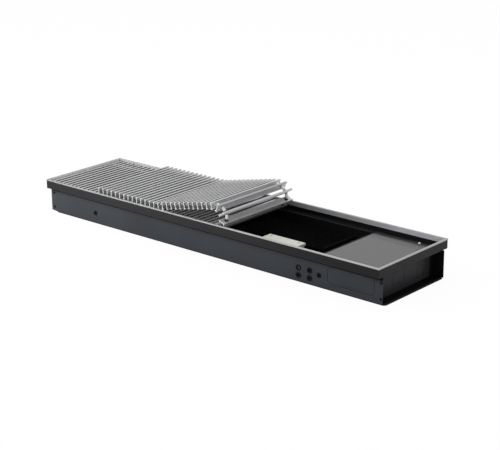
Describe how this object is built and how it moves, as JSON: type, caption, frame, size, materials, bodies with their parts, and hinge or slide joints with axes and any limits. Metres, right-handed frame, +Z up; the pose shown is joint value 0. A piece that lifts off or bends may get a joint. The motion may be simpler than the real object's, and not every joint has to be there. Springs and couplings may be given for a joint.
{
  "type": "trench convector heater",
  "caption": "Long shallow sheet-metal floor trough with a fan-blown finned heat exchanger inside, an aluminium rim and a bar grille folded half back on itself.",
  "frame": {"origin": "bottom centre of the trough, on the underside of the base sheet", "axes": "+X along the trough towards the connection compartment, +Y across it towards the back, +Z up"},
  "size_m": [1.006, 0.25, 0.1318],
  "materials": {
    "sheet": "satin dark grey paint",
    "trim": "satin anodised",
    "grille": "satin anodised",
    "spring_steel": "bright drawn wire",
    "rubber": "matt",
    "fastener": "zinc",
    "cover": "satin grey",
    "cream": "moulded",
    "white_plastic": "moulded",
    "black_plastic": "moulded",
    "copper": "drawn copper tube",
    "fin": "black lacquered",
    "inner_sheet": "matt black",
    "valve_brass": "turned",
    "wheel_alu": "mill finish",
    "motor": "dark casing"
  },
  "bodies": {
    "trough": {"base_plate": "sheet", "wall_front": "sheet", "wall_back": "sheet", "wall_left": "sheet", "wall_right": "sheet", "upstands": "sheet", "trim_long": "trim", "trim_short": "trim", "rubber_strips": "rubber", "rivets": "fastener", "grommets": "rubber", "hole_plugs": "black_plastic", "level_screws": "fastener", "level_nuts": "fastener", "cover_plate": "cover", "cover_screws": "fastener", "partition": "sheet", "box_body": "cream", "box_lid": "cream", "box_screws": "fastener", "terminal_block": "white_plastic", "cable_glands": "black_plastic", "exch_tubes": "copper", "exch_fins": "fin", "exch_plates": "inner_sheet", "supply_valve": "valve_brass", "return_valve": "valve_brass", "bleed_body": "valve_brass", "fan_housing": "inner_sheet", "fan_motor": "motor", "fan_plates": "inner_sheet", "fan_bush": "rubber", "fan_feet": "rubber", "laid_bars": "grille", "laid_sleeves": "grille", "laid_rings": "rubber", "laid_cores": "spring_steel"},
    "bar_one": {"fold_bar_1": "grille", "fold_pins_1": "spring_steel"},
    "bar_two": {"fold_bar_2": "grille", "fold_pins_2": "spring_steel"},
    "bar_three": {"fold_bar_3": "grille", "fold_pins_3": "spring_steel"},
    "link_one": {"fold_link_34": "grille"},
    "bar_four": {"fold_bar_4": "grille", "fold_pins_4": "spring_steel"},
    "link_two": {"fold_link_45": "grille"},
    "bar_five": {"fold_bar_5": "grille", "fold_pins_5": "spring_steel"},
    "bar_six": {"fold_bar_6": "grille", "fold_pins_6": "spring_steel"},
    "ramp": {"ramp_run": "grille", "ramp_pins": "spring_steel"},
    "tail": {"tail_run": "grille", "tail_pins": "spring_steel"},
    "wheel": {"fan_wheel": "wheel_alu"},
    "supply_handle": {"valve_knob": "white_plastic"},
    "return_handle": {"lockshield_cap": "white_plastic"},
    "bleeder": {"bleed_screw": "valve_brass"}
  },
  "joints": [
    {"name": "fold_1", "type": "hinge", "parent": "trough", "child": "bar_one", "pos_m": [0.03475, 0, 0.079], "axis": [0, 1, 0], "range_deg": [0, 5]},
    {"name": "fold_2", "type": "hinge", "parent": "bar_one", "child": "bar_two", "pos_m": [0.0486, 0, 0.08021], "axis": [0, 1, 0], "range_deg": [0, 26]},
    {"name": "fold_3", "type": "hinge", "parent": "bar_two", "child": "bar_three", "pos_m": [0.06051, 0, 0.08737], "axis": [0, 1, 0], "range_deg": [0, 35]},
    {"name": "fold_4_near", "type": "hinge", "parent": "bar_three", "child": "link_one", "pos_m": [0.06446, 0, 0.09623], "axis": [0, 1, 0], "range_deg": [0, 28]},
    {"name": "fold_4_far", "type": "hinge", "parent": "link_one", "child": "bar_four", "pos_m": [0.06387, 0, 0.10461], "axis": [0, 1, 0], "range_deg": [0, 28]},
    {"name": "fold_5_near", "type": "hinge", "parent": "bar_four", "child": "link_two", "pos_m": [0.06096, 0, 0.10928], "axis": [0, 1, 0], "range_deg": [0, 18]},
    {"name": "fold_5_far", "type": "hinge", "parent": "link_two", "child": "bar_five", "pos_m": [0.05452, 0, 0.11467], "axis": [0, 1, 0], "range_deg": [0, 18]},
    {"name": "fold_6", "type": "hinge", "parent": "bar_five", "child": "bar_six", "pos_m": [0.04553, 0, 0.11831], "axis": [0, 1, 0], "range_deg": [0, 27]},
    {"name": "ramp_fold", "type": "hinge", "parent": "bar_six", "child": "ramp", "pos_m": [0.03168, 0, 0.1171], "axis": [0, 1, 0], "range_deg": [0, 6.65]},
    {"name": "tail_fold", "type": "hinge", "parent": "ramp", "child": "tail", "pos_m": [-0.1329, 0, 0.0893], "axis": [0, -1, 0], "range_deg": [0, 11.65]},
    {"name": "wheel_spin", "type": "hinge", "parent": "trough", "child": "wheel", "pos_m": [0, -0.062, 0.033], "axis": [1, 0, 0], "continuous": true},
    {"name": "supply_turn", "type": "hinge", "parent": "trough", "child": "supply_handle", "pos_m": [0.373, -0.012, 0.056], "axis": [0, 0, 1], "range_deg": [-180, 180]},
    {"name": "return_turn", "type": "hinge", "parent": "trough", "child": "return_handle", "pos_m": [0.373, 0.062, 0.04], "axis": [0, 0, 1], "range_deg": [-180, 180]},
    {"name": "bleed_turn", "type": "hinge", "parent": "trough", "child": "bleeder", "pos_m": [0.3065, 0.0435, 0.055], "axis": [0, 0, 1], "range_deg": [0, 360]}
  ],
  "couplings": [
    {"joint": "tail_fold", "follows": "ramp_fold", "ratio": 1.7522}
  ]
}
